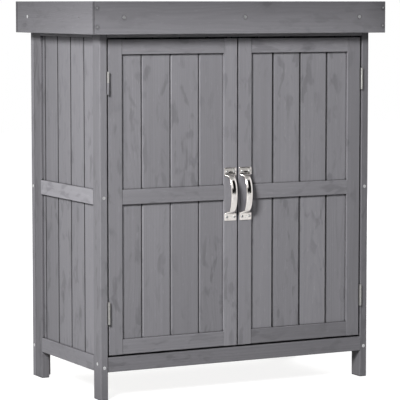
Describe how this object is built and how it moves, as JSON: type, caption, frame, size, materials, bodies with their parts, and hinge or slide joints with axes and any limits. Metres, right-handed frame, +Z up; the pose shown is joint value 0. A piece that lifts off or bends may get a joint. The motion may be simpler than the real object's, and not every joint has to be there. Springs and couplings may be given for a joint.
{
  "type": "garden storage cabinet",
  "caption": "Framed wooden garden cupboard on short legs, with panelled side-hung doors, bow handles, an inner shelf and a hinged flat lid with a deep skirt.",
  "frame": {"origin": "centre of the bounding box at floor level, under the middle of the lid", "axes": "+X to the right seen from the front, the doors face -Y, +Z up"},
  "size_m": [0.74, 0.44, 0.88],
  "materials": {
    "stained_fir": "grey glaze on sawn and planed fir, satin",
    "raw_fir": "untreated planed fir",
    "nickel": "nickel plated, polished",
    "zinc": "bright zinc plated",
    "roofing_felt": "bitumen felt with fine slate chips",
    "black_plastic": "moulded, fine matt texture"
  },
  "bodies": {
    "cabinet": {"front_left_post": "stained_fir", "front_right_post": "stained_fir", "rear_left_post": "stained_fir", "rear_right_post": "stained_fir", "left_side_top_rail": "stained_fir", "left_side_mid_rail": "stained_fir", "left_side_bottom_rail": "stained_fir", "right_side_top_rail": "stained_fir", "right_side_mid_rail": "stained_fir", "right_side_bottom_rail": "stained_fir", "left_side_boards": "stained_fir", "right_side_boards": "stained_fir", "front_top_rail": "stained_fir", "front_bottom_rail": "stained_fir", "back_left_stile": "stained_fir", "back_right_stile": "stained_fir", "back_top_rail": "stained_fir", "back_mid_rail": "stained_fir", "back_bottom_rail": "stained_fir", "back_boards": "stained_fir", "floor_boards": "raw_fir", "inner_battens": "raw_fir", "shelf_boards": "raw_fir", "magnetic_catches": "black_plastic", "catch_magnets": "zinc", "frame_screws": "zinc", "post_hinge_leaves": "zinc", "door_hinge_pins": "zinc", "back_hinge_leaves": "zinc", "lid_hinge_pins": "zinc", "fitting_screws": "zinc"},
    "left_door": {"left_door_hinge_stile": "stained_fir", "left_door_lock_stile": "stained_fir", "left_door_top_rail": "stained_fir", "left_door_mid_rail": "stained_fir", "left_door_bottom_rail": "stained_fir", "left_door_boards": "stained_fir", "left_door_handle": "nickel", "left_door_screws": "nickel", "left_door_strike_plate": "zinc", "left_door_hinge_leaves": "zinc"},
    "right_door": {"right_door_hinge_stile": "stained_fir", "right_door_lock_stile": "stained_fir", "right_door_top_rail": "stained_fir", "right_door_mid_rail": "stained_fir", "right_door_bottom_rail": "stained_fir", "right_door_boards": "stained_fir", "right_door_handle": "nickel", "right_door_screws": "nickel", "right_door_strike_plate": "zinc", "right_door_hinge_leaves": "zinc"},
    "lid": {"lid_front_board": "stained_fir", "lid_rear_board": "stained_fir", "lid_left_board": "stained_fir", "lid_right_board": "stained_fir", "lid_battens": "raw_fir", "lid_top_boards": "raw_fir", "lid_felt": "roofing_felt", "lid_screws": "zinc", "lid_hinge_leaves": "zinc"}
  },
  "joints": [
    {"name": "left_door_hinge", "type": "hinge", "parent": "cabinet", "child": "left_door", "pos_m": [-0.3253, -0.1915, 0.448], "axis": [0, 0, -1], "range_deg": [0, 180]},
    {"name": "right_door_hinge", "type": "hinge", "parent": "cabinet", "child": "right_door", "pos_m": [0.3253, -0.1915, 0.448], "axis": [0, 0, 1], "range_deg": [0, 180]},
    {"name": "lid_hinge", "type": "hinge", "parent": "cabinet", "child": "lid", "pos_m": [0, 0.1959, 0.806], "axis": [-1, 0, 0], "range_deg": [0, 100]}
  ]
}
